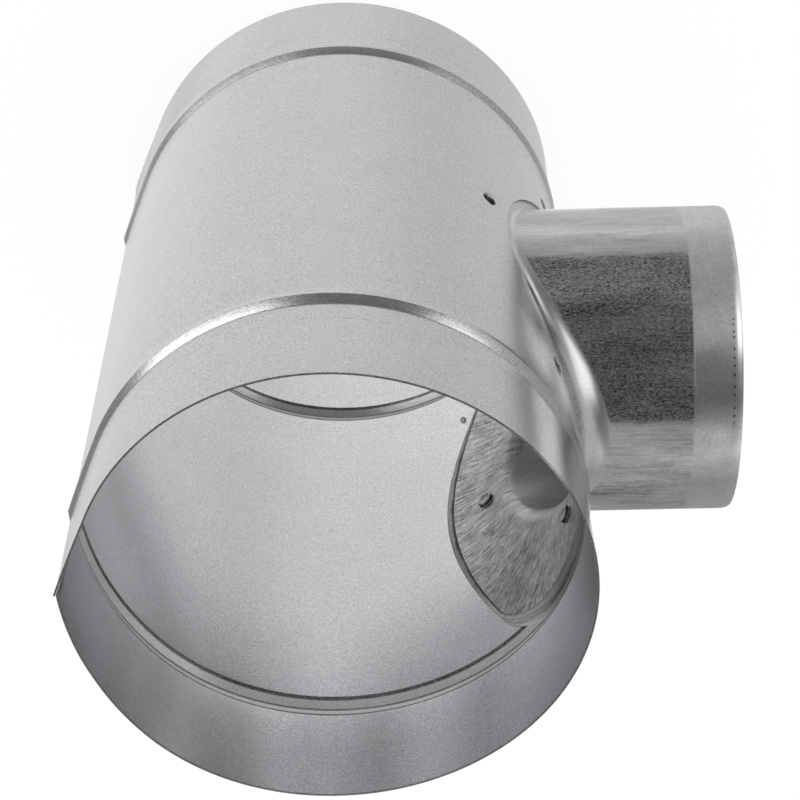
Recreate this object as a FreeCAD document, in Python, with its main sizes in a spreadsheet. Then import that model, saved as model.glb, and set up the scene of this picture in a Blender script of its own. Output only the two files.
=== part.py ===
import FreeCAD, Part
import math
import os
import re
import Sketcher
from FreeCAD import Placement, Rotation, Vector

# Reducing duct tee, in millimetres. A galvanised run tube stands on its lower rim, with its
# axis on +Z and the origin at the centre of that rim. A smaller branch collar leaves along +X.
# The collar and its wide flange are one pressed saddle. It lies against the inside of the tube
# and is sealed round its edge.

doc = FreeCAD.newDocument("reducing_duct_tee")

# Driving sizes
SIZES = {
    "run_radius": 75.0,
    "run_length": 254.0,
    "run_sheet": 0.6,
    "bead_inset": 41.2,
    "bead_half_width": 4.5,
    "bead_rise": 1.3,
    "seam_spread": 40.0,
    "seam_rise": 3.8,
    "seam_lap": 2.5,
    "seam_lip": 1.2,
    "weld_overlap": 0.3,
    "branch_radius": 49.8,
    "branch_reach": 126.3,
    "branch_sheet": 0.8,
    "base_round": 9.0,
    "throat_bevel": 2.0,
    "hole_inset": 0.4,
    "flange_margin": 13.6,
    "flange_end_gap": 0.6,
    "flange_side_radius": 225.0,
    "flange_corner_radius": 12.0,
    "seat_gap": 0.05,
    "trim_margin": 15.0,
    "sealant_side_width": 1.2,
    "sealant_end_width": 7.0,
    "sealant_thickness": 1.0,
}

sheet = doc.addObject("Spreadsheet::Sheet", "Sizes")
for row, (alias, amount) in enumerate(SIZES.items(), start=1):
    sheet.set(f"A{row}", alias)
    sheet.set(f"B{row}", str(amount))
    sheet.setAlias(f"B{row}", alias)
doc.recompute()


def size(name):
    """The plain number in a named cell."""
    return float(sheet.get(name))


def named(text):
    """An expression over the sheet: each word that is a size gets the sheet's name."""
    return re.sub("[a-z_]+", lambda word: "Sizes." + word[0] if word[0] in SIZES else word[0], text)


# Places that several pieces share
BRANCH_LEVEL = "(run_length / 2)"
FLANGE_HALF_LENGTH = "(run_length / 2 - bead_inset - bead_half_width - flange_end_gap)"
FLANGE_HALF_WIDTH = "(branch_radius + flange_margin)"
FLANGE_OUTER = "(run_radius - run_sheet - seat_gap)"

branch_level = size("run_length") / 2
flange_half_length = (branch_level - size("bead_inset") - size("bead_half_width")
                      - size("flange_end_gap"))
flange_half_width = size("branch_radius") + size("flange_margin")
flange_outer_radius = size("run_radius") - size("run_sheet") - size("seat_gap")

ORIGIN = (-1, 1)
X_AXIS, Y_AXIS = range(-1, -3, -1)
START, END, CENTRE = range(1, 4)
UPRIGHT = Placement(Vector(), Rotation(Vector(1, 0, 0), 90))
FACING_X = Placement(Vector(), Rotation(Vector(1, 1, 1), 120))


def bind(sketch, kind, items, value, text):
    """Add a measured constraint and tie it to the sheet."""
    index = sketch.addConstraint(Sketcher.Constraint(kind, *items, value))
    sketch.setExpression(f"Constraints[{index}]", named(text))


def line(sketch, a, b):
    return sketch.addGeometry(Part.LineSegment(Vector(*a, 0), Vector(*b, 0)))


def arc(sketch, centre, radius, start, end):
    circle = Part.Circle(Vector(*centre, 0), Vector(0, 0, 1), radius)
    return sketch.addGeometry(Part.ArcOfCircle(circle, start, end))


def join(sketch, first, second):
    sketch.addConstraint(Sketcher.Constraint("Coincident", *first, *second))


def smooth(sketch, first, second):
    """Join two ends and keep them tangent."""
    sketch.addConstraint(Sketcher.Constraint("Tangent", *first, *second))


def free_sketch(name, placement):
    sketch = doc.addObject("Sketcher::SketchObject", name)
    sketch.Placement = placement
    return sketch


def body_sketch(body, name, role):
    sketch = body.newObject("Sketcher::SketchObject", name)
    plane = next(f for f in body.Origin.OriginFeatures if f.Role == role)
    sketch.AttachmentSupport = (plane, "")
    sketch.MapMode = "FlatFace"
    return sketch


def drawn_out(name, outline):
    """A flat outline drawn out along the branch."""
    prism = doc.addObject("Part::Extrusion", name)
    prism.Base = outline
    prism.DirMode = "Custom"
    prism.Dir = Vector(1, 0, 0)
    prism.Solid = True
    prism.setExpression("LengthFwd", named("branch_reach"))
    return prism


# Section of the beaded wall: a straight sheet with two raised beads
def wall_face(sketch, radius, radius_text):
    """One face of the wall, from the lower rim to the upper one. Gives its two free ends."""
    half = size("bead_half_width")
    beads = ((size("bead_inset"), "bead_inset"),
             (size("run_length") - size("bead_inset"), "run_length - bead_inset"))
    corners = [(radius, 0.0, radius_text, None)]
    for level, level_text in beads:
        corners += [(radius, level - half, radius_text, f"{level_text} - bead_half_width"),
                    (radius + size("bead_rise"), level, f"{radius_text} + bead_rise", level_text),
                    (radius, level + half, radius_text, f"{level_text} + bead_half_width")]
    corners.append((radius, size("run_length"), radius_text, "run_length"))
    runs = [line(sketch, a[:2], b[:2]) for a, b in zip(corners, corners[1:])]
    for first, second in zip(runs, runs[1:]):
        join(sketch, (first, END), (second, START))
    sketch.addConstraint(Sketcher.Constraint("PointOnObject", runs[0], START, X_AXIS))
    bind(sketch, "DistanceX", (*ORIGIN, runs[0], START), radius, radius_text)
    for run, (across, level, across_text, level_text) in zip(runs, corners[1:]):
        bind(sketch, "DistanceX", (*ORIGIN, run, END), across, across_text)
        bind(sketch, "DistanceY", (*ORIGIN, run, END), level, level_text)
    return (runs[0], START), (runs[-1], END)


def wall_ring(name, radius, radius_text, thickness, thickness_text, beaded_inside):
    """A closed section of the wall, whose inner face is beaded like the outer one or straight."""
    section = free_sketch(name, UPRIGHT)
    low, high = wall_face(section, radius, radius_text)
    inner = radius - thickness
    if beaded_inside:
        inner_low, inner_high = wall_face(section, inner, f"{radius_text} - {thickness_text}")
    else:
        back = line(section, (inner, 0), (inner, size("run_length")))
        section.addConstraint(Sketcher.Constraint("Vertical", back))
        bind(section, "DistanceX", (*ORIGIN, back, START), inner,
             f"{radius_text} - {thickness_text}")
        inner_low, inner_high = (back, START), (back, END)
    ends = ((0.0, low, inner_low), (size("run_length"), high, inner_high))
    for level, outer_end, inner_end in ends:
        rim = line(section, (radius, level), (inner, level))
        join(section, outer_end, (rim, START))
        join(section, (rim, END), inner_end)
        if not beaded_inside:
            section.addConstraint(Sketcher.Constraint("Horizontal", rim))
    return section


wall_section = wall_ring("wall_section", size("run_radius"), "run_radius",
                         size("run_sheet"), "run_sheet", True)
doc.recompute()


# The rolled tube: round for most of its turn, with two flatter strips that meet at the seam
def rolled_strip(name, strip_radius, axis_shift, turn, heading, start):
    """The wall section turned about an axis that lies axis_shift beyond the tube's own."""
    own_shift = f"(({strip_radius}) - run_radius)"
    away = f"(({heading}) + ({start}))"
    strip = doc.addObject("Part::Revolution", name)
    strip.Source = wall_section
    strip.Axis = Vector(0, 0, 1)
    strip.Solid = True
    strip.setExpression("Base.x", named(f"-{own_shift}"))
    strip.setExpression("Angle", named(turn))
    strip.setExpression("Placement", named(
        f"placement(vector({own_shift} * cos({away}) - ({axis_shift}) * cos({heading});"
        f" {own_shift} * sin({away}) - ({axis_shift}) * sin({heading}); 0);"
        f" rotation(vector(0; 0; 1); {away}))"))
    return strip


def axis_shift(peak):
    """How far beyond the tube's axis a strip's own axis lies, if it reaches peak at the seam."""
    return f"((({peak})^2 - run_radius^2) / (2 * (run_radius - ({peak}) * cos(seam_spread))))"


def strip_turn(peak):
    """The angle such a strip turns through between the round part and the seam."""
    return f"(asin(({peak}) * sin(seam_spread) / (run_radius + {axis_shift(peak)})) / 1 deg)"


def arc_angle(length, peak):
    return f"(180 / pi * ({length}) / (run_radius + {axis_shift(peak)}))"


LIP_PEAK = "run_radius + seam_rise"
TUCKED_PEAK = "run_radius + seam_rise - run_sheet"
LIP_START = "(180 - seam_spread)"
TUCKED_START = "(180 + seam_spread)"
round_wall = rolled_strip("round_wall", "run_radius", "0", "2 * (180 - seam_spread)",
                          TUCKED_START, "0")
lip_strip = rolled_strip("lip_strip", f"run_radius + {axis_shift(LIP_PEAK)}", axis_shift(LIP_PEAK),
                         f"{strip_turn(LIP_PEAK)} + {arc_angle('seam_lip', LIP_PEAK)}",
                         LIP_START, "0")
tucked_strip = rolled_strip("tucked_strip", f"run_radius + {axis_shift(TUCKED_PEAK)}",
                            axis_shift(TUCKED_PEAK),
                            f"-({strip_turn(TUCKED_PEAK)} + {arc_angle('weld_overlap', TUCKED_PEAK)})",
                            TUCKED_START, "0")
lap_strip = rolled_strip("lap_strip", f"run_radius + {axis_shift(LIP_PEAK)} - run_sheet",
                         axis_shift(LIP_PEAK),
                         arc_angle("seam_lap + weld_overlap", LIP_PEAK), LIP_START,
                         f"{strip_turn(LIP_PEAK)} - {arc_angle('seam_lap', LIP_PEAK)}")
rolled_wall = doc.addObject("Part::MultiFuse", "rolled_wall")
rolled_wall.Shapes = [round_wall, lip_strip, tucked_strip, lap_strip]

# The hole for the branch, just inside the line where the saddle's base round leaves the flange
hole_outline = doc.addObject("Part::Ellipse", "hole_outline")
hole_outline.setExpression("MajorRadius", named("branch_radius + base_round - hole_inset"))
hole_outline.setExpression("MinorRadius", named(
    f"(branch_radius + base_round) * {FLANGE_OUTER} / ({FLANGE_OUTER} + base_round) - hole_inset"))
hole_outline.Placement.Rotation = Rotation(Vector(0, 1, 0), -90)
hole_outline.setExpression("Placement.Base.z", named(BRANCH_LEVEL))
run_tube = doc.addObject("Part::Cut", "run_tube")
run_tube.Base = rolled_wall
run_tube.Tool = drawn_out("hole_cutter", hole_outline)
doc.recompute()


# The saddle: a flange bent to the inside of the tube, drawn out into the collar
def dimension(sketch, circle, radius, text):
    bind(sketch, "Radius", (circle,), radius, text)


def pad(body, name, sketch, length, midplane=False):
    feature = body.newObject("PartDesign::Pad", name)
    feature.Profile = sketch
    feature.Midplane = midplane
    feature.setExpression("Length", named(length))
    doc.recompute()
    return feature


def pocket(body, name, sketch, midplane, turned=False):
    feature = body.newObject("PartDesign::Pocket", name)
    feature.Profile = sketch
    feature.Type = "ThroughAll"
    feature.Midplane = midplane
    feature.Reversed = turned
    doc.recompute()
    return feature


def eased_edges(body, name, kind, edges, measure, text):
    before = body.Tip
    feature = body.newObject(kind, name)
    feature.Base = (before, edges)
    feature.setExpression(measure, named(text))
    doc.recompute()
    return feature


def crossing_edges(shape, radius_a, radius_b):
    """Edges shared by two cylinders whose axes cross, the smaller radius given first."""
    found = []
    for number, edge in enumerate(shape.Edges, start=1):
        faces = shape.ancestorsOfType(edge, Part.Face)
        radii = sorted(f.Surface.Radius for f in faces if f.Surface.TypeId == "Part::GeomCylinder")
        if len(radii) == 2 and all(map(math.isclose, radii, (radius_a, radius_b))):
            found.append(f"Edge{number}")
    return found


branch_saddle = doc.addObject("PartDesign::Body", "branch_saddle")

block_sketch = body_sketch(branch_saddle, "block_sketch", "XY_Plane")
block_sketch.setExpression("AttachmentOffset.Base.z", named(BRANCH_LEVEL))
chord_x = size("run_radius") / 4
chord_y = math.sqrt(flange_outer_radius ** 2 - chord_x ** 2)
swing = math.atan2(chord_y, chord_x)
bow = arc(block_sketch, (0, 0), flange_outer_radius, -swing, swing)
chord = line(block_sketch, (chord_x, chord_y), (chord_x, -chord_y))
join(block_sketch, (bow, CENTRE), ORIGIN)
join(block_sketch, (bow, END), (chord, START))
join(block_sketch, (chord, END), (bow, START))
block_sketch.addConstraint(Sketcher.Constraint("Vertical", chord))
dimension(block_sketch, bow, flange_outer_radius, FLANGE_OUTER)
bind(block_sketch, "DistanceX", (*ORIGIN, chord, START), chord_x, "run_radius / 4")
pad(branch_saddle, "block", block_sketch, f"2 * {FLANGE_HALF_LENGTH}", midplane=True)

collar_sketch = body_sketch(branch_saddle, "collar_sketch", "YZ_Plane")
ring = collar_sketch.addGeometry(Part.Circle(Vector(0, branch_level, 0), Vector(0, 0, 1),
                                             size("branch_radius")))
dimension(collar_sketch, ring, size("branch_radius"), "branch_radius")
collar_sketch.addConstraint(Sketcher.Constraint("PointOnObject", ring, CENTRE, Y_AXIS))
bind(collar_sketch, "DistanceY", (*ORIGIN, ring, CENTRE), branch_level, BRANCH_LEVEL)
pad(branch_saddle, "collar", collar_sketch, "branch_reach")
eased_edges(branch_saddle, "base_round_outside", "PartDesign::Fillet",
            crossing_edges(branch_saddle.Shape, size("branch_radius"), flange_outer_radius),
            "Radius", "base_round")

bore_sketch = body_sketch(branch_saddle, "run_bore_sketch", "XY_Plane")
bore = bore_sketch.addGeometry(Part.Circle(Vector(), Vector(0, 0, 1),
                                           flange_outer_radius - size("branch_sheet")))
dimension(bore_sketch, bore, flange_outer_radius - size("branch_sheet"),
          f"{FLANGE_OUTER} - branch_sheet")
join(bore_sketch, (bore, CENTRE), ORIGIN)
pocket(branch_saddle, "run_bore", bore_sketch, midplane=True)

mouth_sketch = body_sketch(branch_saddle, "branch_bore_sketch", "YZ_Plane")
mouth = mouth_sketch.addGeometry(Part.Circle(Vector(0, branch_level, 0), Vector(0, 0, 1),
                                             size("branch_radius") - size("branch_sheet")))
dimension(mouth_sketch, mouth, size("branch_radius") - size("branch_sheet"),
          "branch_radius - branch_sheet")
mouth_sketch.addConstraint(Sketcher.Constraint("PointOnObject", mouth, CENTRE, Y_AXIS))
bind(mouth_sketch, "DistanceY", (*ORIGIN, mouth, CENTRE), branch_level, BRANCH_LEVEL)
pocket(branch_saddle, "branch_bore", mouth_sketch, midplane=True)
eased_edges(branch_saddle, "throat_bevel", "PartDesign::Chamfer",
            crossing_edges(branch_saddle.Shape, size("branch_radius") - size("branch_sheet"),
                           flange_outer_radius - size("branch_sheet")),
            "Size", "throat_bevel")


# Outline of the flange seen along the branch: bowed sides, flat ends and rounded corners
def flange_outline(sketch, half_width, width_text, half_length, length_text, side_radius,
                   side_text):
    """Half the outline is drawn at each side; the same form, larger, bounds the sealant."""
    corner = size("flange_corner_radius")
    side_centre = half_width - side_radius
    level = half_length - corner
    corner_y = side_centre + math.sqrt((side_radius - corner) ** 2 - level ** 2)
    lean = math.atan2(level, corner_y - side_centre)
    middle = branch_level
    sides = [arc(sketch, (side_centre, middle), side_radius, -lean, lean),
             arc(sketch, (-side_centre, middle), side_radius, math.pi - lean, math.pi + lean)]
    corners = [arc(sketch, (corner_y, middle + level), corner, lean, math.pi / 2),
               arc(sketch, (-corner_y, middle + level), corner, math.pi / 2, math.pi - lean),
               arc(sketch, (-corner_y, middle - level), corner, math.pi + lean, 1.5 * math.pi),
               arc(sketch, (corner_y, middle - level), corner, 1.5 * math.pi, 2 * math.pi - lean)]
    ends = [line(sketch, (corner_y, middle + half_length), (-corner_y, middle + half_length)),
            line(sketch, (-corner_y, middle - half_length), (corner_y, middle - half_length))]
    smooth(sketch, (sides[0], END), (corners[0], START))
    smooth(sketch, (corners[0], END), (ends[0], START))
    smooth(sketch, (ends[0], END), (corners[1], START))
    smooth(sketch, (corners[1], END), (sides[1], START))
    smooth(sketch, (sides[1], END), (corners[2], START))
    smooth(sketch, (corners[2], END), (ends[1], START))
    smooth(sketch, (ends[1], END), (corners[3], START))
    smooth(sketch, (corners[3], END), (sides[0], START))
    for index in corners:
        dimension(sketch, index, corner, "flange_corner_radius")
    for index, way in zip(sides, (1, -1)):
        dimension(sketch, index, side_radius, side_text)
        bind(sketch, "DistanceY", (*ORIGIN, index, CENTRE), middle, BRANCH_LEVEL)
        bind(sketch, "DistanceX", (*ORIGIN, index, CENTRE), way * side_centre,
             f"{way} * ({width_text} - ({side_text}))")
    for index, way in zip(ends, (1, -1)):
        sketch.addConstraint(Sketcher.Constraint("Horizontal", index))
        bind(sketch, "DistanceY", (*ORIGIN, index, START), middle + way * half_length,
             f"{BRANCH_LEVEL} + {way} * {length_text}")


trim_sketch = body_sketch(branch_saddle, "trim_sketch", "YZ_Plane")
flange_outline(trim_sketch, flange_half_width, FLANGE_HALF_WIDTH, flange_half_length,
               FLANGE_HALF_LENGTH, size("flange_side_radius"), "flange_side_radius")
frame_y = flange_outer_radius + size("trim_margin")
frame_low = branch_level - flange_half_length - size("trim_margin")
frame_high = branch_level + flange_half_length + size("trim_margin")
places = ((-frame_y, frame_low), (frame_y, frame_low), (frame_y, frame_high), (-frame_y, frame_high))
frame_sides = [line(trim_sketch, a, b) for a, b in zip(places, places[1:] + places[:1])]
for first, second in zip(frame_sides, frame_sides[1:] + frame_sides[:1]):
    join(trim_sketch, (first, END), (second, START))
for side, kind in zip(frame_sides, ("Horizontal", "Vertical", "Horizontal", "Vertical")):
    trim_sketch.addConstraint(Sketcher.Constraint(kind, side))
bind(trim_sketch, "DistanceX", (*ORIGIN, frame_sides[1], START), frame_y,
     f"{FLANGE_OUTER} + trim_margin")
bind(trim_sketch, "DistanceX", (frame_sides[3], END, *ORIGIN), frame_y,
     f"{FLANGE_OUTER} + trim_margin")
bind(trim_sketch, "DistanceY", (*ORIGIN, frame_sides[0], START), frame_low,
     f"{BRANCH_LEVEL} - {FLANGE_HALF_LENGTH} - trim_margin")
bind(trim_sketch, "DistanceY", (*ORIGIN, frame_sides[2], START), frame_high,
     f"{BRANCH_LEVEL} + {FLANGE_HALF_LENGTH} + trim_margin")
pocket(branch_saddle, "flange_trim", trim_sketch, midplane=True)


# Sealant round the flange, lying on the tube and filling the beads' grooves where it meets them
sealant_section = wall_ring("sealant_section", flange_outer_radius, FLANGE_OUTER,
                            size("sealant_thickness"), "sealant_thickness", False)
sealant_layer = rolled_strip("sealant_layer", "run_radius", "0", "180", "-90", "0")
sealant_layer.Source = sealant_section
sealant_outline = free_sketch("sealant_outline", FACING_X)
flange_outline(sealant_outline, flange_half_width + size("seat_gap"),
               f"({FLANGE_HALF_WIDTH} + seat_gap)", flange_half_length + size("seat_gap"),
               f"({FLANGE_HALF_LENGTH} + seat_gap)",
               size("flange_side_radius"), "flange_side_radius")
flange_outline(sealant_outline,
               flange_half_width + size("seat_gap") + size("sealant_side_width"),
               f"({FLANGE_HALF_WIDTH} + seat_gap + sealant_side_width)",
               flange_half_length + size("seat_gap") + size("sealant_end_width"),
               f"({FLANGE_HALF_LENGTH} + seat_gap + sealant_end_width)",
               size("flange_side_radius"), "flange_side_radius")
flange_sealant = doc.addObject("Part::Common", "flange_sealant")
flange_sealant.Base = sealant_layer
flange_sealant.Tool = drawn_out("sealant_band", sealant_outline)
doc.recompute()

# Every feature is sound, every cut removed something, and each piece is one solid
for item in doc.Objects:
    if "Invalid" in item.State or "Error" in item.State:
        raise RuntimeError(f"{item.Name} did not build: {item.State}")
if run_tube.Shape.Volume >= rolled_wall.Shape.Volume:
    raise RuntimeError("the hole for the branch was not cut")
steps = [f for f in branch_saddle.Group if f.TypeId == "PartDesign::Pocket"]
for feature in steps:
    if feature.Shape.Volume >= feature.BaseFeature.Shape.Volume:
        raise RuntimeError(f"{feature.Name} removed nothing")
os.makedirs("parts", exist_ok=True)
for piece in (run_tube, branch_saddle, flange_sealant):
    if piece.Shape.isNull() or not piece.Shape.isValid() or len(piece.Shape.Solids) != 1:
        raise RuntimeError(f"{piece.Label} is not one sound solid")
    piece.Shape.exportStep(f"parts/{piece.Label}.step")
    print(piece.Label, round(piece.Shape.Volume), "cubic millimetres")
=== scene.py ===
# %% [markdown]
# # Reducing duct tee in galvanised sheet steel
# A tee for round ventilation ducts. A wide run tube is rolled from thin zinc-coated sheet and has
# a raised bead near each end. A narrower collar stands out from its side. The collar was pressed
# in one piece with a wide flange, and the flange lies inside the run tube, clinched and sealed.
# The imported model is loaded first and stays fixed: every piece below is made at the same place,
# with finer curves, and then stands for one of its solids.

# %% Load the fixed frame
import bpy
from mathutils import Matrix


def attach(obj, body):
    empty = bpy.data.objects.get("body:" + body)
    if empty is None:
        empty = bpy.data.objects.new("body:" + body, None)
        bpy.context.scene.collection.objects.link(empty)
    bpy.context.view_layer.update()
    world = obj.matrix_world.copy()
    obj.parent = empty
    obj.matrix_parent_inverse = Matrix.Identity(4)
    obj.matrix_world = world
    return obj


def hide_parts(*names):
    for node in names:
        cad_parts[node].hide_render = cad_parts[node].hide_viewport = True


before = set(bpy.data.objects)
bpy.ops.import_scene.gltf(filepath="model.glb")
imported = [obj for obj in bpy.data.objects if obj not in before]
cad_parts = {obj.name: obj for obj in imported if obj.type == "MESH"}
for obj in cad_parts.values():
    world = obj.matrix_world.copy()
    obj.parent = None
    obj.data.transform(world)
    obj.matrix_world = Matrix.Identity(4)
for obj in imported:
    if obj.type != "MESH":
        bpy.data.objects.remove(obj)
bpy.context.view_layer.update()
print("solids in the frame:", sorted(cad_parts))

# %% Names used all through
from math import atan2, cos, degrees, hypot, pi, radians, sin, sqrt

import bmesh
import bpy
from mathutils import Matrix, Vector, noise

scene = bpy.context.scene
METRE = 0.001
print("pieces are drawn in millimetres and scaled by", METRE)

# %% [markdown]
# ## Sizes
# Sheet metal is all about a few radii and one thickness. The run tube is 150 mm across, the
# collar 100 mm, and the beads rise little more than a millimetre. The values stand together here
# so that the tube, the hole in it and the saddle inside it always agree.

# %% Sizes in millimetres
RUN_RADIUS = 75.0
RUN_LENGTH = 254.0
RUN_SHEET = 0.6
BEADS = (41.2, 212.8)
BEAD_HALF = 4.5
BEAD_RISE = 1.36
BRANCH_LEVEL = RUN_LENGTH / 2
BRANCH_RADIUS = 49.8
BRANCH_REACH = 126.3
BRANCH_SHEET = 0.8
FRONT_ROUND = 10.5
SIDE_ROUND = 5.0
SEAT_GAP = 0.05
FLANGE_RADIUS = RUN_RADIUS - RUN_SHEET - SEAT_GAP
print("the flange's outer face has a radius of", FLANGE_RADIUS, "mm")

# %% [markdown]
# ## Two small workshops
# `turned` spins a profile of radii and heights into a closed round solid, as a lathe would.
# `carve` joins or cuts one mesh with another. A boolean is the honest way to make a punched hole
# or a pressed pit in a curved wall, where a grid of faces has no edge in the right place.

# %% Turned solids and carving
def turned(profile, steps=40):
    """A closed solid of revolution about Z from (radius, height) pairs; it starts on the axis."""
    bm = bmesh.new()
    verts = [bm.verts.new((radius, 0, height)) for radius, height in profile]
    chain = [bm.edges.new(pair) for pair in zip(verts, verts[1:])]
    bmesh.ops.spin(bm, geom=verts + chain, cent=(0, 0, 0), axis=(0, 0, 1), angle=2 * pi,
                   steps=steps, use_merge=True)
    bmesh.ops.remove_doubles(bm, verts=bm.verts, dist=0.001)
    bmesh.ops.recalc_face_normals(bm, faces=bm.faces)
    return bm


def gathered(parts):
    """Several bmeshes as one."""
    whole = bmesh.new()
    for part in parts:
        mesh = bpy.data.meshes.new("part")
        part.to_mesh(mesh)
        part.free()
        whole.from_mesh(mesh)
        bpy.data.meshes.remove(mesh)
    return whole


def carve(body, tool, operation):
    """The body joined with the tool or cut by it, as a new bmesh."""
    holders = []
    for bm in (body, tool):
        mesh = bpy.data.meshes.new("blank")
        bm.to_mesh(mesh)
        bm.free()
        holders.append(bpy.data.objects.new("blank", mesh))
        scene.collection.objects.link(holders[-1])
    step = holders[0].modifiers.new("carve", "BOOLEAN")
    step.operation = operation
    step.solver = "EXACT"
    step.object = holders[1]
    result = bmesh.new()
    result.from_object(holders[0], bpy.context.evaluated_depsgraph_get())
    for holder in holders:
        mesh = holder.data
        bpy.data.objects.remove(holder)
        bpy.data.meshes.remove(mesh)
    bmesh.ops.dissolve_degenerate(result, dist=0.0005, edges=result.edges)
    print(operation.lower(), "leaves", len(result.faces), "faces")
    return result


# %% [markdown]
# ## From a bmesh to a piece of the tee
# Each finished mesh is scaled to metres, shaded smooth with its sharp folds kept, and put into
# the scene unmoved. It rides on the frame's one body and hides the solid that it stands for.

# %% Placing a piece
STIFF_RADIUS = 86
STIFF_FADE = 8


def out_of_round(co):
    """Thin sheet never stays quite round: a few tenths of a millimetre in and out.

    The push fades out before the stiff collar, which stays round.
    """
    turn = atan2(co.y, co.x)
    near_wall = min(1.0, max(0.0, (STIFF_RADIUS - hypot(co.x, co.y)) / STIFF_FADE))
    swell = 0.5 * sin(2 * turn) + 0.32 * cos(3 * turn + radians(30)) - 0.15
    return Vector((cos(turn), sin(turn), 0)) * swell * near_wall


def piece(name, bm, node, crease=28):
    for vert in bm.verts:
        vert.co += out_of_round(vert.co)
    bmesh.ops.scale(bm, vec=(METRE,) * 3, verts=bm.verts)
    mesh = bpy.data.meshes.new(name)
    bm.to_mesh(mesh)
    bm.free()
    mesh.polygons.foreach_set("use_smooth", [True] * len(mesh.polygons))
    mesh.set_sharp_from_angle(angle=radians(crease))
    item = bpy.data.objects.new(name, mesh)
    scene.collection.objects.link(item)
    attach(item, "root")
    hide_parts(node)
    print(name, "has", len(mesh.polygons), "faces")
    return item


# %% [markdown]
# ## The run tube's sheet
# The real tube is a flat sheet rolled round until its edges overlap, then spot-welded. The rolls
# can't bend the last few centimetres fully, so the tube is round over most of its turn and comes
# to a low ridge at the seam, like a drop. Spinning one upright line about a different centre for
# each stretch follows the rolls exactly, and the overlap comes out by itself.

# %% Centres of the flatter strips beside the seam
def heading(degrees_round):
    return Vector((cos(radians(degrees_round)), sin(radians(degrees_round)), 0))


def strip(start, end):
    """Centre, radius and turn of an arc that leaves the round part smoothly and reaches end."""
    out = heading(start)
    shift = (end.length_squared - RUN_RADIUS ** 2) / (2 * (RUN_RADIUS - end.dot(out)))
    centre = -shift * out
    return centre, RUN_RADIUS + shift, (end - centre).angle(out)


LIP_START, TUCKED_START = 157, 220
LAP_GAP = 0.05
seam = Vector((-79.0, 3.0, 0))
lip_centre, lip_radius, lip_turn = strip(LIP_START, seam)
tucked_end = seam - (seam - lip_centre).normalized() * (RUN_SHEET + LAP_GAP)
tucked_centre, tucked_radius, tucked_turn = strip(TUCKED_START, tucked_end)
print("outer strip", round(lip_radius, 1), "mm radius;",
      "tucked strip", round(tucked_radius, 1), "mm radius")

# %% Spin the sheet
LAP = 3.0
TIP = 0.6
FOLD = 0.3
FOOT = BEAD_HALF + FOLD
FLANK = BEAD_HALF - FOLD
FLANK_RISE = 0.07
ROW = 6
levels = [(0.0, 0.0)]
for crest in BEADS + (RUN_LENGTH + FOOT,):
    start = levels[-1][0]
    rows = round((crest - FOOT - start) / ROW)
    levels += [(start + (crest - FOOT - start) * row / rows, 0) for row in range(1, rows + 1)]
    levels += [(crest - FLANK, FLANK_RISE), (crest, BEAD_RISE), (crest + FLANK, FLANK_RISE),
               (crest + FOOT, 0)]
levels = [level for level in levels if level[0] <= RUN_LENGTH]

bm = bmesh.new()
lap_out = (tucked_end - lip_centre).normalized()
lap_turned = Matrix.Rotation(-LAP / lip_radius, 3, "Z") @ lap_out
verts = [bm.verts.new(lip_centre + lap_turned * (lip_radius - RUN_SHEET - LAP_GAP + rise)
                      + Vector((0, 0, z))) for z, rise in levels]
last = verts + [bm.edges.new(pair) for pair in zip(verts, verts[1:])]
turns = ((lip_centre, LAP / lip_radius, 3), (tucked_centre, tucked_turn, 30),
         (Vector(), radians(360 + LIP_START - TUCKED_START), 220),
         (lip_centre, lip_turn + TIP / lip_radius, 16))
for centre, angle, steps in turns:
    last = bmesh.ops.spin(bm, geom=last, cent=centre, axis=(0, 0, 1), angle=angle, steps=steps,
                          use_merge=False)["geom_last"]
print("rolled sheet:", len(bm.faces), "faces")

# %% Let the rims spring out a little, at the seam and beside the branch
SEAM_FLARE, SEAM_FLARE_HEIGHT, SEAM_SIDE = 0.6, 11, -70
NEAR_BULGE, NEAR_BULGE_HEIGHT, NEAR_BULGE_AT = 0.9, 40, -8
for vert in bm.verts:
    near_end = max(0.0, 1 - min(vert.co.z, RUN_LENGTH - vert.co.z) / SEAM_FLARE_HEIGHT)
    near_seam = min(1.0, max(0.0, (SEAM_SIDE - vert.co.x) / 8))
    near_top = max(0.0, (vert.co.z - RUN_LENGTH + NEAR_BULGE_HEIGHT) / NEAR_BULGE_HEIGHT)
    outward = Vector((vert.co.x, vert.co.y, 0)).normalized()
    facing = max(0.0, outward.dot(heading(NEAR_BULGE_AT)))
    bulge = NEAR_BULGE * near_top ** 2 * facing ** 2
    flare = SEAM_FLARE * near_end ** 2 * near_seam
    vert.co += outward * bulge - Vector((flare, 0, 0))
print("the seam's rims stand out by", SEAM_FLARE, "mm")

# %% Round the folds of the beads and give the sheet its thickness
def level_edges(bm, level):
    return [e for e in bm.edges if all(abs(v.co.z - level) < 0.01 for v in e.verts)]


for crest in BEADS:
    for level, width in ((crest, 0.3), (crest - FLANK, 0.4), (crest + FLANK, 0.4),
                         (crest - FOOT, 0.2), (crest + FOOT, 0.2)):
        bmesh.ops.bevel(bm, geom=level_edges(bm, level), offset=width, offset_type="OFFSET",
                        segments=3, profile=0.5, affect="EDGES", material=-1)
bmesh.ops.recalc_face_normals(bm, faces=bm.faces)
probe = max(bm.faces, key=lambda f: f.calc_center_median().x)
if probe.normal.x < 0:
    bmesh.ops.reverse_faces(bm, faces=bm.faces)
bmesh.ops.solidify(bm, geom=bm.faces[:], thickness=RUN_SHEET)
for vert in bm.verts:
    vert.co.z = min(max(vert.co.z, 0), RUN_LENGTH)
inner = min(hypot(v.co.x, v.co.y) for v in bm.verts)
print("inner radius", round(inner, 3), "mm; highest", round(max(v.co.x for v in bm.verts), 3))

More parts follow.
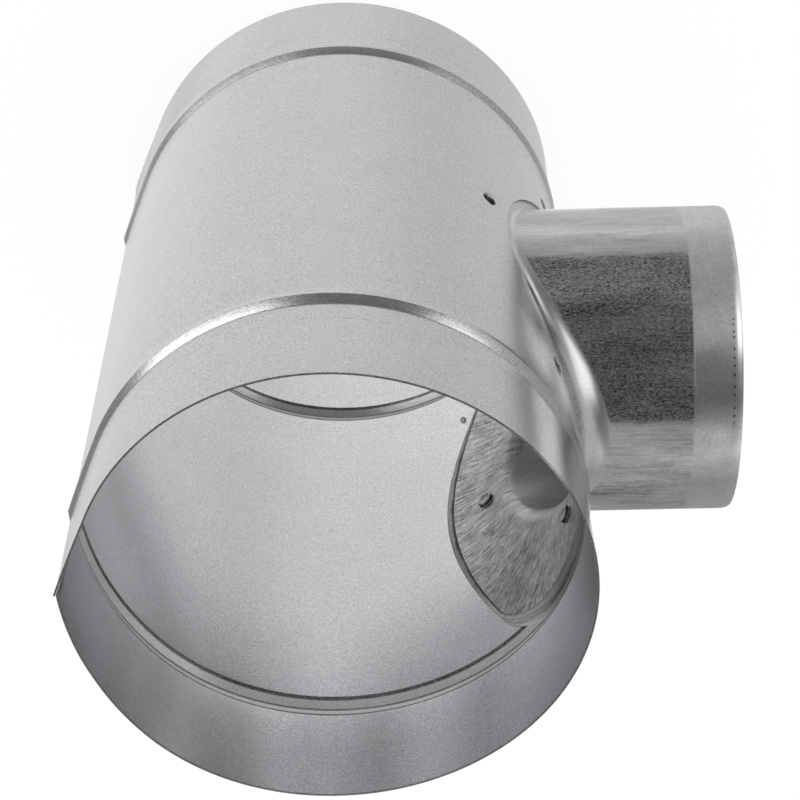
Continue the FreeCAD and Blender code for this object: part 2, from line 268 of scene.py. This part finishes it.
# %% [markdown]
# ## The hole and the clinch pits
# The hole for the branch is punched a hair inside the line where the saddle's base round leaves
# its flange. Seen along the branch that line is an ellipse. Each clinch point is a punch mark: it
# pushes the tube's sheet through the flange as a small cup, so from outside it is a round pit.

# %% Clinch places
CLINCH_RING = 64.0
CLINCH_BEARINGS = (26, 83, 149, 198, 269, 326)


def clinch_places():
    """Each clinch point's angle about the run's axis, and its height."""
    for bearing in CLINCH_BEARINGS:
        yield (CLINCH_RING * sin(radians(bearing)) / RUN_RADIUS,
               BRANCH_LEVEL - CLINCH_RING * cos(radians(bearing)))


def clinch_set(profile):
    """The same turned solid at every clinch point, its heights counted from the run's axis."""
    parts = []
    for around, level in clinch_places():
        part = turned(profile)
        place = (Matrix.Translation((0, 0, level)) @ Matrix.Rotation(around, 4, "Z")
                 @ Matrix.Rotation(pi / 2, 4, "Y"))
        bmesh.ops.transform(part, matrix=place, verts=part.verts)
        parts.append(part)
    return gathered(parts)


def mark_clinches(bm, reach, low, high):
    """The attribute "pressed" is 1 near a clinch axis, between two radii about the run's axis."""
    pressed = bm.verts.layers.float.new("pressed")
    for around, level in clinch_places():
        for vert in bm.verts:
            off = hypot((atan2(vert.co.y, vert.co.x) - around) * RUN_RADIUS, vert.co.z - level)
            if off < reach and low < hypot(vert.co.x, vert.co.y) < high:
                vert[pressed] = 1.0


print("clinch points:", len(CLINCH_BEARINGS), "on a ring of", CLINCH_RING, "mm")

# %% Punch the hole, then press the cups
HOLE_INSET_FRONT, HOLE_INSET_SIDE = 0.4, 0.3
cutter = bmesh.new()
bmesh.ops.create_cone(cutter, cap_ends=True, segments=240, radius1=1, radius2=1, depth=100)
half_z = BRANCH_RADIUS + FRONT_ROUND - HOLE_INSET_FRONT
half_y = ((BRANCH_RADIUS + SIDE_ROUND) * FLANGE_RADIUS / (FLANGE_RADIUS + SIDE_ROUND)
          - HOLE_INSET_SIDE)
shape = (Matrix.Translation((70, 0, BRANCH_LEVEL)) @ Matrix.Rotation(pi / 2, 4, "Y")
         @ Matrix.Diagonal((half_z, half_y, 1, 1)))
bmesh.ops.transform(cutter, matrix=shape, verts=cutter.verts)
tube = carve(bm, cutter, "DIFFERENCE")
cups = clinch_set(((0, 72.85), (2.3, 72.85), (2.5, 73.05), (2.5, 74.7), (0, 74.7)))
tube = carve(tube, cups, "UNION")
pits = clinch_set(((0, 73.1), (1.7, 73.1), (2.05, 73.2), (2.2, 73.5), (2.2, 74.2), (2.3, 74.6),
                   (2.55, 74.85), (3.0, 74.98), (3.4, 75.1), (3.4, 77), (0, 77)))
tube = carve(tube, pits, "DIFFERENCE")
mark_clinches(tube, 3.1, 72, 74.95)
run_tube = piece("duct_run", tube, "run_tube")

# %% [markdown]
# ## The saddle
# Collar, base round and flange are one skin. A ball rolling between the collar and the tube's
# inside gives the base round, and its centre moves on a simple curve: a fixed distance from both
# axes. So the skin starts as plain rings spun round the branch, and each ring is then moved out to
# its place: up the collar, round under the ball, and out along the flange to the trimmed edge.

# %% Rings moved to a surface
def ring_surface(across, around, place, closed=False):
    """Rings spun about the branch's axis; ring j at angle t goes to place(j, t)."""
    bm = bmesh.new()
    share = bm.verts.layers.float.new("across")
    verts = [bm.verts.new((j, 0, 50)) for j in range(across)]
    chain = [bm.edges.new(pair) for pair in zip(verts, verts[1:])]
    bmesh.ops.spin(bm, geom=verts + chain, cent=(0, 0, 0), axis=(1, 0, 0), angle=2 * pi,
                   steps=around, use_merge=True)
    if closed:
        rims = [e for e in bm.edges if e.is_boundary]
        bmesh.ops.bridge_loops(bm, edges=rims)
    for vert in bm.verts:
        vert[share] = vert.co.x / (across - 1)
        vert.co = place(round(vert.co.x), atan2(vert.co.y, vert.co.z))
    bmesh.ops.recalc_face_normals(bm, faces=bm.faces)
    return bm


# %% The flange's outline, seen along the branch
HALF_WIDTH = BRANCH_RADIUS + 14.3
HALF_LENGTH = BRANCH_LEVEL - BEADS[0] - BEAD_HALF - 0.3
SIDE_RADIUS = 225.0
CORNER = 22.0
ASKEW = radians(-0.5)


def outline_reach(angle, half_width, half_length):
    """How far the outline lies from the branch's axis, at an angle from +Z towards +Y."""
    y, z = abs(sin(angle + ASKEW)), abs(cos(angle + ASKEW))
    side = half_width - SIDE_RADIUS
    bow = side * y + sqrt((side * y) ** 2 + SIDE_RADIUS ** 2 - side ** 2)
    corner_z = half_length - CORNER
    corner_y = side + sqrt((SIDE_RADIUS - CORNER) ** 2 - corner_z ** 2)
    if bow * z <= corner_z * SIDE_RADIUS / (SIDE_RADIUS - CORNER):
        return bow
    if half_length / z * y <= corner_y:
        return half_length / z
    along = corner_y * y + corner_z * z
    return along + sqrt(along ** 2 - corner_y ** 2 - corner_z ** 2 + CORNER ** 2)


print("the flange is", 2 * HALF_WIDTH, "by", 2 * HALF_LENGTH, "mm seen along the branch")

# %% Spin and shape the saddle
LIP = ((0, 0.85), (0.5, 0.52), (1.1, 0.26), (1.9, 0.08), (3.0, 0))
COLLAR_ROWS = 9
ROUND_ROWS = 12
FLANGE_ROWS = 12


def on_run(y, z, radius):
    """A point on a cylinder about the run's axis, given how it looks along the branch."""
    return Vector((sqrt(max(radius ** 2 - y ** 2, 0)), y, BRANCH_LEVEL + z))


def saddle_place(j, t):
    ball = FRONT_ROUND * cos(t) ** 2 + SIDE_ROUND * sin(t) ** 2
    centre = on_run((BRANCH_RADIUS + ball) * sin(t), (BRANCH_RADIUS + ball) * cos(t),
                    FLANGE_RADIUS + ball)
    inward = Vector((0, -sin(t), -cos(t)))
    if j <= COLLAR_ROWS:
        base = centre + inward * ball
        back, tuck = LIP[min(j, len(LIP) - 1)]
        share = max(0.0, (j - len(LIP) + 1) / (COLLAR_ROWS - len(LIP) + 1))
        base.x = BRANCH_REACH - back + (base.x - BRANCH_REACH + back) * share
        return base + inward * tuck
    down = Vector((-centre.x, -centre.y, 0)).normalized()
    if j <= COLLAR_ROWS + ROUND_ROWS:
        return centre + inward.slerp(down, (j - COLLAR_ROWS) / ROUND_ROWS) * ball
    touch = centre + down * ball
    angle = atan2(touch.y, touch.z - BRANCH_LEVEL)
    near = hypot(touch.y, touch.z - BRANCH_LEVEL)
    far = outline_reach(angle, HALF_WIDTH, HALF_LENGTH)
    reach = near + (far - near) * (j - COLLAR_ROWS - ROUND_ROWS) / FLANGE_ROWS
    return on_run(reach * sin(angle), reach * cos(angle), FLANGE_RADIUS)


saddle = ring_surface(COLLAR_ROWS + ROUND_ROWS + FLANGE_ROWS + 1, 300, saddle_place)
collar_faces = [f for f in saddle.faces if f.calc_center_median().x > 110]
probe = max(collar_faces, key=lambda f: f.calc_center_median().y)
if probe.normal.y < 0:
    bmesh.ops.reverse_faces(saddle, faces=saddle.faces)
bmesh.ops.solidify(saddle, geom=saddle.faces[:], thickness=BRANCH_SHEET)
rim = [e for e in saddle.edges if all(v.co.x > BRANCH_REACH - 0.01 for v in e.verts)
       and e.calc_face_angle(0) > 1]
bmesh.ops.bevel(saddle, geom=rim, offset=0.2, offset_type="OFFSET", segments=2, profile=0.5,
                affect="EDGES", material=-1)
print("collar rim: bevelled", len(rim), "edges")

# %% Buttons pressed out of the flange
buttons = clinch_set(((0, 72.58), (1.5, 72.56), (1.9, 72.44), (2.3, 72.38), (2.65, 72.46),
                      (2.85, 72.7), (2.9, 73.3), (3.05, 73.48), (3.3, 73.6), (3.3, 73.95),
                      (0, 73.95)))
saddle = carve(saddle, buttons, "UNION")
seats = clinch_set(((0, 72.8), (2.55, 72.8), (2.55, 76), (0, 76)))
saddle = carve(saddle, seats, "DIFFERENCE")
mark_clinches(saddle, 3.4, 72, 73.58)
branch_saddle = piece("branch_collar", saddle, "branch_saddle")

# %% [markdown]
# ## The sealant
# A gasket of dark sealant squeezed out round the flange's edge. It was put on by hand, so its
# inner edge wanders and it is widest at the ends, where it fills the grooves behind the beads. It
# is a closed ring whose section follows the tube outside and swells gently inside.

# %% Spin and shape the sealant
def tube_inside(level):
    """The inner radius of the run tube at a height, its two grooves included."""
    groove = max(0.0, max(1 - abs(level - crest) / BEAD_HALF for crest in BEADS))
    return RUN_RADIUS - RUN_SHEET + BEAD_RISE * groove


def sealant_place(j, t):
    edge = outline_reach(t, HALF_WIDTH, HALF_LENGTH)
    far = outline_reach(t, HALF_WIDTH + 1.2, HALF_LENGTH + 7.0)
    wander = noise.noise(Vector((sin(t) * 6, cos(t) * 6, 2)))
    ripple = noise.noise(Vector((sin(t) * 22, cos(t) * 22, 7)))
    lap = 0.5 + 0.3 * wander + 0.2 * ripple
    stations = (edge - lap, edge - lap * 0.55, edge + 0.2, edge + (far - edge) * 0.55,
                edge + (far - edge) * 0.85, far - 0.1 - 0.3 * abs(ripple), far - 0.5,
                edge + 0.12, edge + 0.12, edge - lap * 0.9)
    reach = stations[j]
    y, z = reach * sin(t), reach * cos(t)
    wall = tube_inside(BRANCH_LEVEL + z) - SEAT_GAP
    bed = RUN_RADIUS - RUN_SHEET - SEAT_GAP - BRANCH_SHEET - 0.03
    swell = 0.06 * ripple
    heights = (bed - 0.05, bed - 0.22 + swell, bed - 0.25 + swell, wall - 0.8 + swell,
               wall - 0.45, wall - 0.12, wall, wall, bed, bed)
    return on_run(y, z, heights[j])


sealant = ring_surface(10, 420, sealant_place, closed=True)

# %% A drop of sealant left on the wall beside the flange
DROP_LEVEL, DROP_ANGLE, DROP_RADIUS = 67.8, -55.7, 74.3
drop = turned(((0, 0), (1.5, 0), (1.3, 0.5), (0.8, 0.95), (0, 1.1)), 24)
bmesh.ops.scale(drop, vec=(1, 0.8, 1), verts=drop.verts)
on_wall = (Matrix.Translation((0, 0, DROP_LEVEL)) @ Matrix.Rotation(radians(DROP_ANGLE), 4, "Z")
           @ Matrix.Translation((DROP_RADIUS, 0, 0)) @ Matrix.Rotation(-pi / 2, 4, "Y"))
bmesh.ops.transform(drop, matrix=on_wall, verts=drop.verts)
sealant = gathered([sealant, drop])
share = sealant.verts.layers.float["across"]
for vert in sealant.verts:
    if vert.co.y < -50 and abs(vert.co.z - DROP_LEVEL) < 2 and vert[share] == 0:
        vert[share] = 0.3
flange_sealant = piece("flange_sealant_bead", sealant, "flange_sealant", crease=50)

# %% [markdown]
# ## Writing materials as arithmetic
# A node tree is easier to read as a formula. `Value` wraps one output socket, and Python's
# operators on it add Math nodes. Every other node comes from `Board.node`, which takes the type,
# the settings and the inputs.

# %% A small language for shaders
class Value:
    """One output socket. Operators on it add Math nodes to its board."""

    def __init__(self, board, socket):
        self.board = board
        self.socket = socket

    def _math(self, operation, *terms):
        return self.board.node("ShaderNodeMath", {"operation": operation}, dict(enumerate(terms)))

    def __add__(self, other):
        return self._math("ADD", self, other)

    def __radd__(self, other):
        return self._math("ADD", other, self)

    def __sub__(self, other):
        return self._math("SUBTRACT", self, other)

    def __rsub__(self, other):
        return self._math("SUBTRACT", other, self)

    def __mul__(self, other):
        return self._math("MULTIPLY", self, other)

    def __rmul__(self, other):
        return self._math("MULTIPLY", other, self)

    def __truediv__(self, other):
        return self._math("DIVIDE", self, other)

    def __pow__(self, other):
        return self._math("POWER", self, other)

    def __abs__(self):
        return self._math("ABSOLUTE", self)

    def ramp(self, low, high):
        """Smoothly from 0 to 1 while the value goes from low to high; low may be the larger."""
        return self.board.node("ShaderNodeMapRange", {"interpolation_type": "SMOOTHSTEP"},
                               {"Value": self, "From Min": low, "From Max": high})


class Board:
    """A material's or the world's node tree."""

    def __init__(self, owner):
        self.owner = owner
        self.tree = owner.node_tree
        self.tree.nodes.clear()

    def node(self, kind, settings=None, inputs=None, output=0):
        made = self.tree.nodes.new(kind)
        for key, setting in (settings or {}).items():
            setattr(made, key, setting)
        for key, given in (inputs or {}).items():
            if isinstance(given, Value):
                self.tree.links.new(given.socket, made.inputs[key])
            else:
                made.inputs[key].default_value = given
        return Value(self, made.outputs[output])

    def blend(self, factor, first, second):
        """Two colours, mixed by a factor."""
        return self.node("ShaderNodeMix", {"data_type": "RGBA"},
                         {0: factor, 6: first, 7: second}, 2)

    def noise(self, vector, scale, detail=3.0, rough=0.5):
        return self.node("ShaderNodeTexNoise", {},
                         {"Vector": vector, "Scale": scale, "Detail": detail, "Roughness": rough})

    def vector(self, x, y, z):
        return self.node("ShaderNodeCombineXYZ", {}, {0: x, 1: y, 2: z})

    def angle(self, rise, run):
        """The angle in radians whose tangent is rise over run."""
        return self.node("ShaderNodeMath", {"operation": "ARCTAN2"}, {0: rise, 1: run})

    def attribute(self, name):
        return self.node("ShaderNodeAttribute", {"attribute_name": name}, output=2)

    def close(self, shader, kind="ShaderNodeOutputMaterial"):
        """Ends the tree in its output node and gives back the material or the world."""
        out = self.tree.nodes.new(kind)
        self.tree.links.new(shader.socket, out.inputs[0])
        print(self.owner.name, "has", len(self.tree.nodes), "nodes")
        return self.owner


def grey(level):
    return (level, level, level, 1)


def window(value, low, high, soft):
    """1 between two values, fading out over soft on both sides."""
    return value.ramp(low - soft, low + soft) * value.ramp(high + soft, high - soft)


def stripe(value, at, half, soft):
    """1 within half of a place, fading to 0 over soft."""
    return abs(value - at).ramp(half + soft, half)


def total(values):
    """The sum of several values."""
    first, *others = values
    for other in others:
        first = first + other
    return first


def new_material(name):
    material = bpy.data.materials.new(name)
    material.use_nodes = True
    return Board(material)


# %% [markdown]
# ## Galvanised sheet
# Zinc gives the tube a pale, even grey with a very fine grain and no shine to speak of. It is a
# metal all the same, so it shows the room as a soft blur. Coordinates round the tube come from
# the angle about its axis, which keeps marks of the rolls level and lets them run right round.

# %% Millimetre coordinates for a material
def coordinates(board):
    """The object's X, Y and Z in millimetres."""
    place = board.node("ShaderNodeTexCoord", output=3)
    large = board.node("ShaderNodeVectorMath", {"operation": "SCALE"}, {0: place, "Scale": 1000.0})
    split = board.node("ShaderNodeSeparateXYZ", {}, {0: large})
    outs = split.socket.node.outputs
    return large, Value(board, outs[0]), Value(board, outs[1]), Value(board, outs[2])


def normals(board):
    """The three parts of the direction in which a face looks."""
    normal = board.node("ShaderNodeNewGeometry", output=1)
    split = board.node("ShaderNodeSeparateXYZ", {}, {0: normal})
    return [Value(board, split.socket.node.outputs[i]) for i in range(3)]


def looks_in(towards):
    """1 on faces that look inwards: towards is the normal dotted with the place from the axis."""
    return towards.ramp(-10, -25)


# %% Tube finish
ZINC = 0.58
ROLL_MARK = BEAD_HALF + 7.6
board = new_material("galvanised_tube")
place, x, y, z = coordinates(board)
turn = board.angle(y, x) * RUN_RADIUS
nx, ny, nz = normals(board)
inside = looks_in(nx * x + ny * y)
grain = board.noise(place, 1.6, 4.0, 0.7)
speck = board.noise(place, 3.2, 2.0, 0.6)
cloud = board.noise(place, 0.045, 3.0, 0.55)
drag = board.noise(board.vector(turn * 0.05, z * 1.6, 0.0), 1.0, 3.0, 0.6)
tone = (ZINC + 0.65 * (grain - 0.5) + 0.30 * (speck - 0.5) + 0.05 * (cloud - 0.5)
        + 0.05 * (drag - 0.5))

# Faint broken lines left by the bead rolls and dark cut edges; painted shade in the clinch pits
# outside and in the bead folds inside.
marks = total(stripe(z, crest + side * ROLL_MARK, 0.10, 0.18)
              for crest in BEADS for side in (-1, 1))
dashes = board.noise(board.vector(turn * 0.7, z * 0.05, 3.0), 1.0, 2.0).ramp(0.48, 0.6)
cut = z.ramp(0.3, 0.1) + z.ramp(RUN_LENGTH - 0.3, RUN_LENGTH - 0.1)
groove = total(stripe(z, crest, BEAD_HALF - 0.6, 0.8) for crest in BEADS)
folds = total(stripe(z, crest - BEAD_HALF + 0.5, 0.6, 0.35) + stripe(z, crest + 0.5, 0.5, 0.3)
              + stripe(z, crest + BEAD_HALF - 0.5, 0.45, 0.3) for crest in BEADS)
pit = board.attribute("pressed").ramp(0.3, 0.8) * (1 - inside)
tone = tone - 0.10 * marks * dashes - 0.3 * cut - 0.35 * pit - 0.45 * inside * folds

# Painted light and shade inside the sheet: paler overall, painted shade in the middle towards the
# upper end, and in the near spigot painted pale reflections on both sides and painted shade beyond
# them on the -X side.
near_spigot = z.ramp(214, 218)
painted_shade_low = z.ramp(205, 240) * abs(x).ramp(62, 30)
painted_reflection_left = 0.55 * window(x, -57, -17, 9) * (1 - 0.4 * x.ramp(-46, -54))
painted_reflection_right = 0.5 * window(x, 18, 37, 8)
painted_shade_left = 0.25 * x.ramp(-60, -68)
tone = tone * (1 + inside * (0.2 - 0.3 * painted_shade_low
                             + near_spigot * (painted_reflection_left + painted_reflection_right - painted_shade_left)))
# Outside: a painted reflection as a pale streak beside the branch, and painted shade on the -X
# side near the lower end.
painted_glint = ((1 - inside) * window(turn, 39, 51, 4.5)
         * (window(z, 180, 203, 8) + z.ramp(216, 222)))
painted_shade_far_end = (1 - inside) * z.ramp(38, 28) * x.ramp(-40, -62)
tone = tone * (1 + 0.6 * painted_glint - 0.28 * painted_shade_far_end)

colour = board.blend(tone, grey(0.0), (0.98, 0.99, 1.01, 1))
bump = board.node("ShaderNodeBump", {}, {
    "Strength": 0.25, "Distance": 0.0001,
    "Height": 0.6 * grain + 0.5 * speck - marks * dashes})
shader = board.node("ShaderNodeBsdfPrincipled", {}, {
    "Base Color": colour, "Metallic": 1 - 0.75 * inside * groove - 0.42 * painted_glint,
    "Roughness": 0.24 + 0.10 * (grain - 0.5), "Normal": bump})
run_tube.data.materials.append(board.close(shader))

# %% [markdown]
# ## Drawn steel of the collar
# The collar was stretched out of flat sheet. That smears the zinc, so it is darker and shinier
# than the tube, with streaks along the draw, and on the upper front the stretched skin is
# pebbled under a painted dark reflection. Its last fifteen millimetres were rolled smooth, which
# left them paler. The flange keeps the rays that the draw left round its hole. Painted light and
# shade lie over the collar, its base round and the flange. `around` counts degrees about the
# branch's axis, from straight along the run (0) to the side that faces up in the picture (90).

# %% Places on the saddle
# base is the height at which the collar meets its base round, and ball is that round's radius.
board = new_material("drawn_saddle")
place, x, y, z = coordinates(board)
up = z - BRANCH_LEVEL
bearing = board.angle(y, up)
around = bearing * degrees(1)
ring = (y * y + up * up) ** 0.5
sideways = y * y / (y * y + up * up)
ball = FRONT_ROUND - (FRONT_ROUND - SIDE_ROUND) * sideways
base = ((ball + FLANGE_RADIUS) ** 2 - (ball + BRANCH_RADIUS) ** 2 * sideways) ** 0.5
nx, ny, nz = normals(board)
inside = looks_in(ny * y + nz * up)
under = nx.ramp(0.1, -0.1)
on_collar = (x - base).ramp(-0.7, 0.7)
on_flange = under + (1 - under) * ring.ramp(BRANCH_RADIUS + 1.5, BRANCH_RADIUS + 8)
rim_zone = x.ramp(110.5, 111.7)
# A painted highlight on the collar's lip, over part of its turn.
painted_lip_highlight = x.ramp(BRANCH_REACH - 2.4, BRANCH_REACH - 1.4) * window(around, 30, 60, 8)
not_behind = around.ramp(-110, -80)
print("places on the saddle:", len(board.tree.nodes), "nodes")

# %% Marks of the draw
streak = board.noise(board.vector(x * 0.10, bearing * 55.0, 0.0), 1.0, 4.0, 0.6)
pebble = board.noise(board.vector(x, y * 2.3, z * 2.3), 1.0, 4.0, 0.8)
rays = board.noise(board.vector(ring * 0.15, bearing * 85.0, 5.0), 1.0, 5.0, 0.78)
blotch = board.noise(place, 0.16, 4.0, 0.6)
fine = board.noise(place, 0.9, 3.0, 0.7)
smear = board.noise(board.vector(x * 0.03, y * 0.12, z * 0.12), 1.0, 4.0, 0.6)
# The drawn zone: the skin's own pebbled grain under a painted dark reflection.
drawn_and_painted_dark = (window(around + 5 * (streak - 0.5), 7.5, 72, 2.5) * on_collar * (1 - rim_zone)
         * (1 - inside))
ticks = board.noise(board.vector(bearing * 38.0, 0.0, 1.0), 1.0, 1.0).ramp(0.52, 0.56)
tool_line = stripe(x, BRANCH_REACH - 2.9, 0.18, 0.2) * ticks * window(around, 4, 48, 8)
print("with the marks:", len(board.tree.nodes), "nodes")

# %% Tones of the collar, its base round and the flange
# Painted light and shade on the rim zone: painted shade low on its front, paler where it turns
# down, painted shade again underneath and paler towards the top, with a painted highlight on the
# lip.
STEEL = 0.43
rim_painted_shading = (1 - 0.6 * window(around, 9, 35, 8) + 0.22 * window(around, -7, 5, 4)
             - 0.54 * around.ramp(-6, -22) * not_behind)
rim_tone = rim_painted_shading * (STEEL + 0.12 * bearing.ramp(1.0, 1.5) + 0.25 * (blotch - 0.5)
                        + 0.3 * (fine - 0.5) - 0.35 * tool_line + 0.35 * painted_lip_highlight)

# Painted shade on the collar towards its underside and inside it, and painted paler and darker
# bands round it. In the drawn zone the pebbles are the skin's own grain, darkened by a painted
# dark reflection.
painted_shade_below = ((bearing.ramp(0.15, 0.0) * 0.17 + bearing.ramp(-0.1, -0.7) * 0.17)
            * bearing.ramp(-1.6, -1.15) * (1 - inside))
collar_painted_shading = (1 + 0.95 * window(around, 53, 73, 6) * drawn_and_painted_dark + 0.3 * window(around, 74, 88, 4)
                - 0.45 * window(around, 25, 41, 7) * drawn_and_painted_dark + 0.4 * window(around, -11, 6, 4))
pebble_and_painted_reflection = drawn_and_painted_dark * (1.9 * (pebble - 0.5) - 0.13 - 0.03 * bearing.ramp(0.9, 0.4))
collar_tone = (collar_painted_shading * (1 - 0.2 * inside)
               * (STEEL - painted_shade_below + (0.3 - 0.2 * inside) * (streak - 0.5)
                  + 0.4 * (smear - 0.5) + 0.2 * (fine - 0.5) + pebble_and_painted_reflection))
collar_tone = rim_zone * rim_tone + (1 - rim_zone) * collar_tone

# The flange shows the draw as rays, light and dark, with a painted shade towards -Y away from the
# hole.
flange_tone = (0.40 + 1.9 * (rays - 0.5) + 0.6 * (blotch - 0.5) + 0.5 * (fine - 0.5)
               - 0.05 * y.ramp(5, -35) * ring.ramp(50, 64))

# The base round has a painted bright crescent with painted shade beside it, paler painted bands
# towards the top, and painted shade on its underside.
deep = (base - x) / ball
painted_dark_patch = window(around, 37, 60, 4) * deep.ramp(0.5, 0.68)
round_tone = ((0.37 + 0.12 * deep.ramp(0.45, 0.2)) * (1 - 0.68 * painted_dark_patch)
              + 0.1 * bearing.ramp(1.15, 1.3) + 0.25 * window(around, 62, 80, 5)
              + 0.12 * (rays - 0.5) + 0.12 * (fine - 0.5))
round_tone = round_tone * (1 - 0.55 * around.ramp(1, -16) * not_behind)

# All of it together, with painted shade on the side walls of each clinch button.
near_tone = on_flange * flange_tone + (1 - on_flange) * round_tone
slope = 1 - abs(nx * x + ny * y) / (x * x + y * y) ** 0.5
shadow = board.attribute("pressed").ramp(0.4, 0.6) * slope.ramp(0.1, 0.5)
tone = (on_collar * collar_tone + (1 - on_collar) * near_tone) * (1 - 0.75 * shadow)
print("with the tones:", len(board.tree.nodes), "nodes")

# %% Collar and flange finish
throat = under * (1 - on_collar) * ring.ramp(60, 53)
brushed = on_collar * (1 - drawn_and_painted_dark) * (1 - painted_lip_highlight)
metal = (1 - (0.5 + 0.2 * inside) * brushed - 0.45 * throat
         - 0.1 * (1 - on_collar) * (1 - on_flange))
colour = board.blend(tone, grey(0.0), grey(1.0))
bump = board.node("ShaderNodeBump", {}, {
    "Strength": 0.35, "Distance": 0.0001, "Height": pebble * drawn_and_painted_dark * 2.0 + streak * 0.2})
shader = board.node("ShaderNodeBsdfPrincipled", {}, {
    "Base Color": colour, "Metallic": metal, "Roughness": 0.28 + 0.12 * rim_zone,
    "Normal": bump})
branch_saddle.data.materials.append(board.close(shader))

# %% [markdown]
# ## Sealant
# The sealant is grey and dull. Its attribute "across" runs from the flange's edge (0) to the
# tube's wall, so threads drawn out by the squeeze follow the ring. Its two edges are painted
# darker as painted shade. On the side away from the camera, and most of all towards the tube's
# lower end, it is painted paler as painted light.

# %% Sealant finish
board = new_material("grey_sealant")
place, x, y, z = coordinates(board)
lumps = board.noise(place, 0.9, 3.0, 0.6)
across = board.attribute("across")
threads = board.noise(board.vector(across * 26.0, z * 0.04, y * 0.04), 1.0, 3.0, 0.7)
# The middle of the bead carries the threads and is lit; its two edges keep a painted shade.
threaded_and_lit_middle = window(across, 0.09, 0.62, 0.05)
crack = stripe(across, 0.36, 0.02, 0.03)
# Painted light: paler on the -Y side, most of all towards the lower end.
painted_light_far_side = (2 + 5 * z.ramp(150, 110)) * y.ramp(-25, -50)
shade = (0.035 + 0.03 * lumps
         + threaded_and_lit_middle * (0.12 + 0.12 * (lumps - 0.4) + 0.55 * (threads - 0.5) - 0.06 * crack))
colour = board.blend(shade * (1 + painted_light_far_side), grey(0.0), grey(1.0))
bump = board.node("ShaderNodeBump", {}, {"Strength": 0.5, "Distance": 0.0002, "Height": lumps})
shader = board.node("ShaderNodeBsdfPrincipled", {}, {
    "Base Color": colour, "Roughness": 0.55 + 0.2 * (lumps - 0.5), "Normal": bump})
flange_sealant.data.materials.append(board.close(shader))

# %% [markdown]
# ## Floor and light
# Bare metal has no look of its own: it shows what stands around it. So the world looks one way to
# the light that falls on the tee, an even white, and another way to its reflections: a white table
# below, a dim room above, and a few soft boxes at set directions. `side` is the direction round
# the horizon, 0 towards +Y, and `rise` is the height above it, both in degrees. The floor isn't
# seen in reflections, so that the world's own table takes its place.

# %% Floor
FLOOR_DROP = 0.0002
bm = bmesh.new()
bmesh.ops.create_circle(bm, cap_ends=True, segments=96, radius=4.0)
bmesh.ops.translate(bm, vec=(0, 0, -FLOOR_DROP), verts=bm.verts)
mesh = bpy.data.meshes.new("floor")
bm.to_mesh(mesh)
bm.free()
floor = bpy.data.objects.new("floor", mesh)
scene.collection.objects.link(floor)
floor.visible_glossy = False
print("the floor lies", FLOOR_DROP / METRE, "mm below the tee")

# %% Floor finish: its own white where it is looked at, a matt pale grey for shadows
board = new_material("white_floor")
path = board.node("ShaderNodeLightPath")
outs = path.socket.node.outputs
seen = total(Value(board, outs[kind])
             for kind in ("Is Camera Ray", "Is Glossy Ray", "Is Transmission Ray"))
matt = board.node("ShaderNodeBsdfDiffuse", {}, {"Color": grey(0.86)})
bright = board.node("ShaderNodeEmission", {}, {"Color": grey(1.0), "Strength": 1.04})
both = board.node("ShaderNodeMixShader", {}, {0: seen.ramp(0, 1) * 0.86, 1: matt, 2: bright})
floor.data.materials.append(board.close(both))

# %% World
world = bpy.data.worlds.new("studio")
world.use_nodes = True
scene.world = world
board = Board(world)
path = board.node("ShaderNodeLightPath")
glossy = Value(board, path.socket.node.outputs["Is Glossy Ray"])
ray = board.node("ShaderNodeTexCoord")
split = board.node("ShaderNodeSeparateXYZ", {}, {0: ray})
rx, ry, rz = (Value(board, split.socket.node.outputs[i]) for i in range(3))
side = board.angle(rx, ry) * degrees(1)
rise = board.node("ShaderNodeMath", {"operation": "ARCSINE"}, {0: rz}) * degrees(1)

# What the metal shows, each part within its own window of directions.
below = (rise + 3 * side.ramp(-55, -80)).ramp(-43, -52)
table = (0.76 - 0.17 * side.ramp(0, 60) + 0.05 * side.ramp(-60, -90)) * below
sky = 0.18 - 0.08 * rise.ramp(0, 60)
left_box = window(side, -77, -19, 7) * window(rise - 0.15 * side, -26.5, -12, 2.5)
right_foot = window(side, 38, 62, 5) * window(rise, -31.5, -20, 2)
right_box = window(side, 26, 78, 8) * window(rise, 14, 62, 6)
room = ((0.42 + 0.3 * window(side, -140, -70, 45)) * abs(side).ramp(25, 50)
        * window(rise, -15, 42, 5))
edges = ((side.ramp(58, 72) * (0.16 + 0.26 * rise.ramp(-41, -32)) + 0.12 * side.ramp(-60, -75))
         * window(rise, -46, 40, 6))
behind = 0.22 * abs(side).ramp(115, 150) * (1 - below)
backlight = 1.1 * abs(side).ramp(158, 172) * below
reflected = (sky + table + 3.7 * left_box + 3.4 * right_foot + 1.9 * right_box + room + edges
             + behind + backlight)
level = 1.0 + glossy * (reflected - 1.0)
light = board.node("ShaderNodeBackground", {}, {"Color": grey(1.0), "Strength": level})
board.close(light, "ShaderNodeOutputWorld")
scene.view_settings.view_transform = "Standard"

# %% Camera
right = Vector((0.99972, -0.02353, 0.00264))
above = Vector((0.02131, 0.84585, -0.53298))
back = right.cross(above)
lens = bpy.data.cameras.new("camera")
lens.lens = 105.24
lens.sensor_width = 36
camera = bpy.data.objects.new("camera", lens)
camera.matrix_world = (Matrix.Translation((0.0273, 0.4015, 0.7870))
                       @ Matrix((right, above, back)).transposed().to_4x4())
scene.collection.objects.link(camera)
scene.camera = camera
print("the camera stands", round(camera.location.z, 3), "m above the floor")
